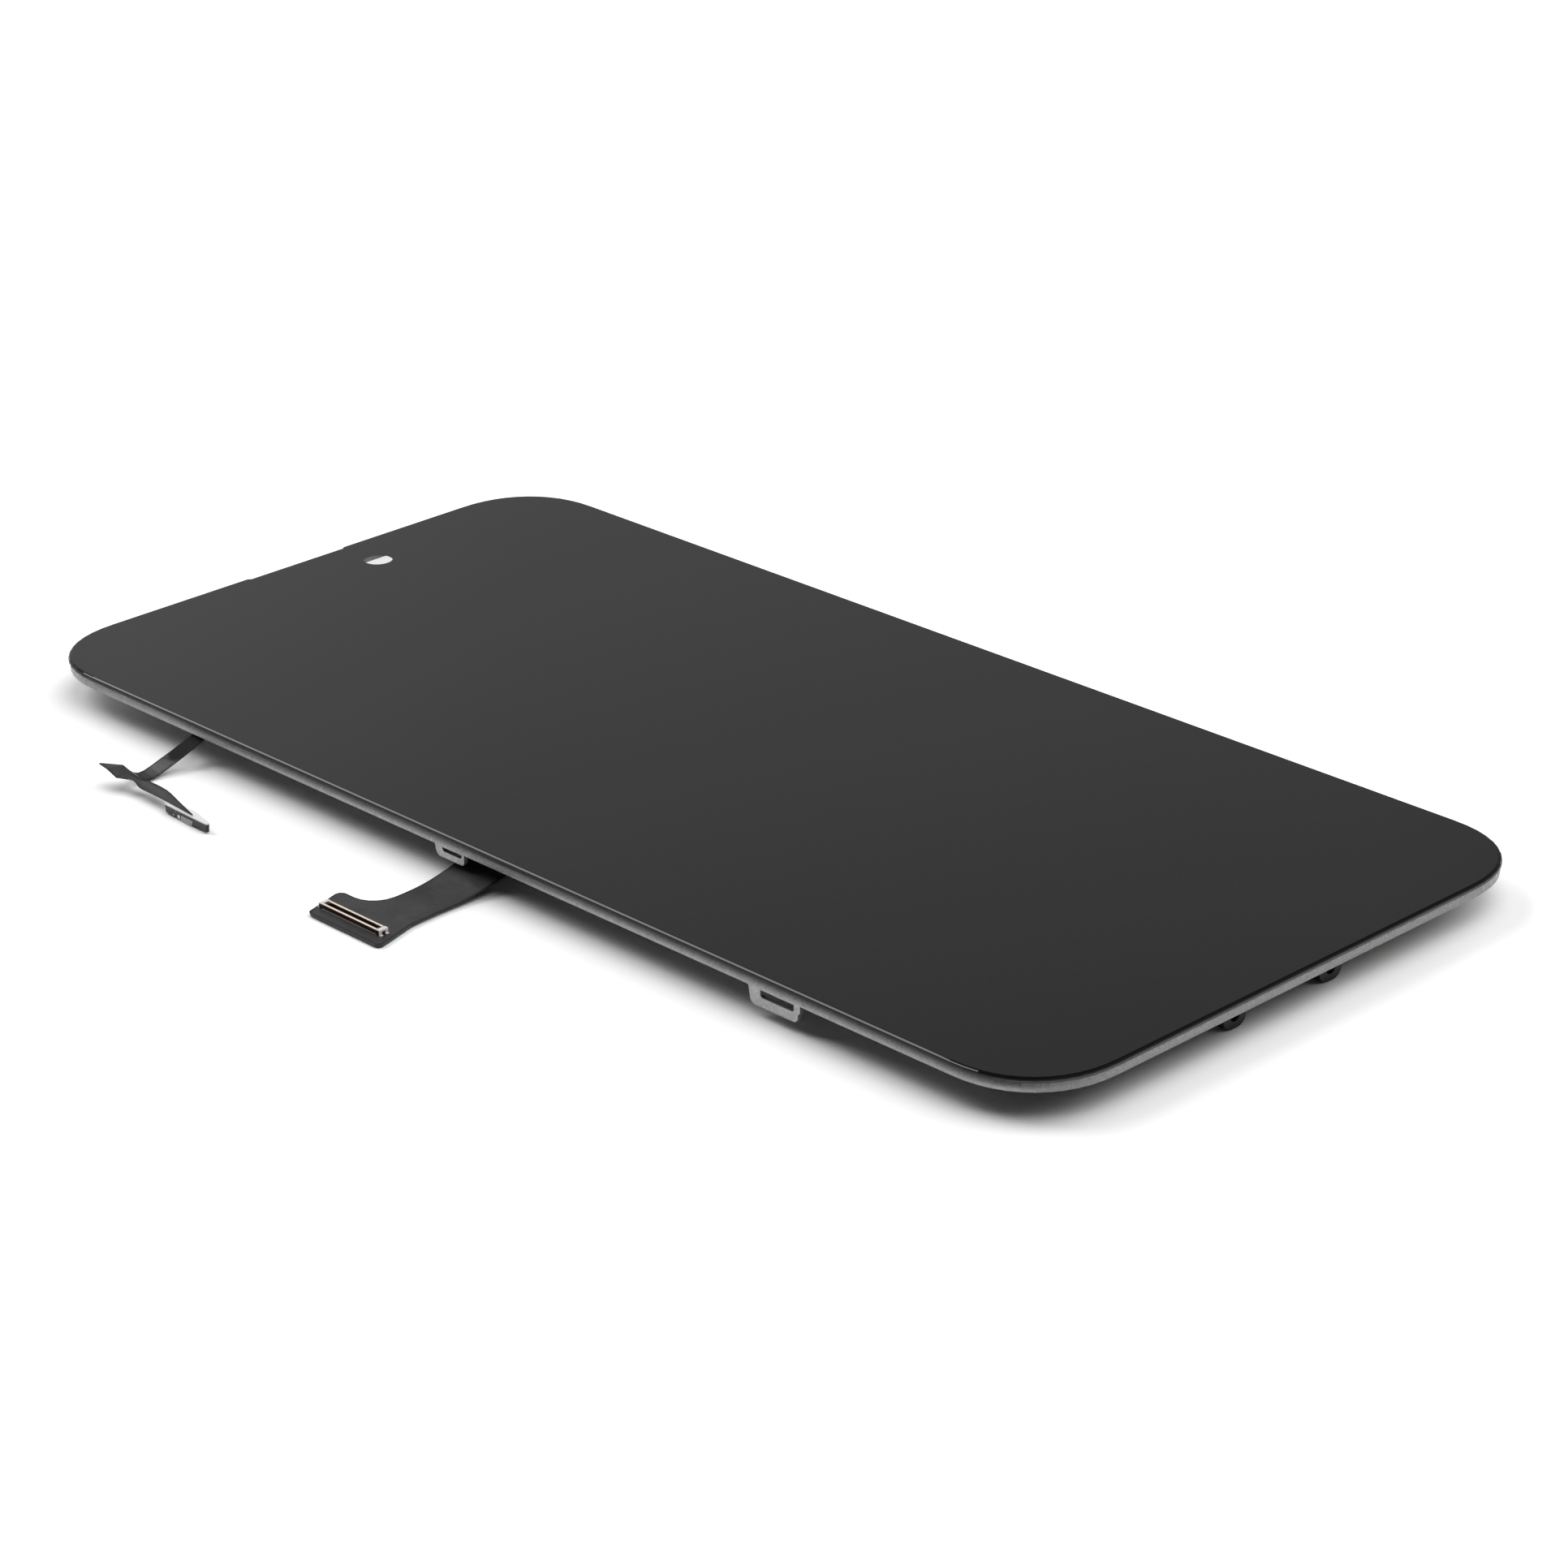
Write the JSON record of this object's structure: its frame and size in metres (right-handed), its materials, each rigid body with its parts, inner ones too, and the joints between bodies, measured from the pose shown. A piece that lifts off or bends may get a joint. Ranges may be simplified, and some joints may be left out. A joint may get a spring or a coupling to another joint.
{
  "type": "phone lcd screen assembly",
  "caption": "Flat phone display module with rounded corners, a sensor notch, a grey frame with clips and lugs, and two flex circuits with board connectors at its side.",
  "frame": {"origin": "middle of the glass's front face", "axes": "+Z out of the screen, +Y to the earpiece end, +X to the right seen from the front"},
  "size_m": [0.0868, 0.1476, 0.0044],
  "materials": {
    "cover_glass": "clear glass with a dark printed border behind it",
    "black_plastic": "matte black",
    "clear_film": "clear film",
    "polarizer_film": "dark smooth film",
    "display_glass": "thin dark glass",
    "optical_film": "satin film",
    "reflector": "bright reflecting film",
    "white_plastic": "white moulded plastic",
    "steel": "satin pressed steel",
    "frame_gray": "fine-grained grey moulding",
    "film_amber": "thin amber film",
    "flex_coverlay": "dark satin flex coverlay",
    "contact_gold": "gold-coloured plating",
    "contact_silver": "bright plated metal"
  },
  "bodies": {
    "root": {"cover_glass": "cover_glass", "border_mask": "black_plastic", "optical_adhesive": "clear_film", "touch_sensor": "clear_film", "front_polarizer": "polarizer_film", "color_filter_glass": "display_glass", "tft_glass": "display_glass", "rear_polarizer": "polarizer_film", "upper_prism_film": "optical_film", "lower_prism_film": "optical_film", "diffuser_film": "optical_film", "light_guide": "clear_film", "reflector_film": "reflector", "backlight_frame": "white_plastic", "led_bar": "white_plastic", "rear_tray": "steel", "bezel_frame": "frame_gray", "frame_adhesive": "black_plastic", "camera_collar": "frame_gray", "screw_lug_left": "black_plastic", "screw_lug_right": "black_plastic", "top_hook_left": "steel", "top_hook_right": "steel", "earpiece_mesh": "black_plastic", "driver_film": "film_amber", "driver_chip": "black_plastic", "display_flex": "flex_coverlay", "display_flex_stiffener": "black_plastic", "flex_shield_can": "steel", "flex_tape": "black_plastic", "display_connector_body": "black_plastic", "display_contacts_outer": "contact_gold", "display_contacts_inner": "contact_gold", "display_end_plate_lower": "contact_silver", "display_end_plate_upper": "contact_silver", "touch_flex": "flex_coverlay", "touch_connector_plate": "steel", "touch_connector_body": "black_plastic", "touch_contacts_outer": "contact_gold", "touch_contacts_inner": "contact_gold"}
  },
  "joints": []
}
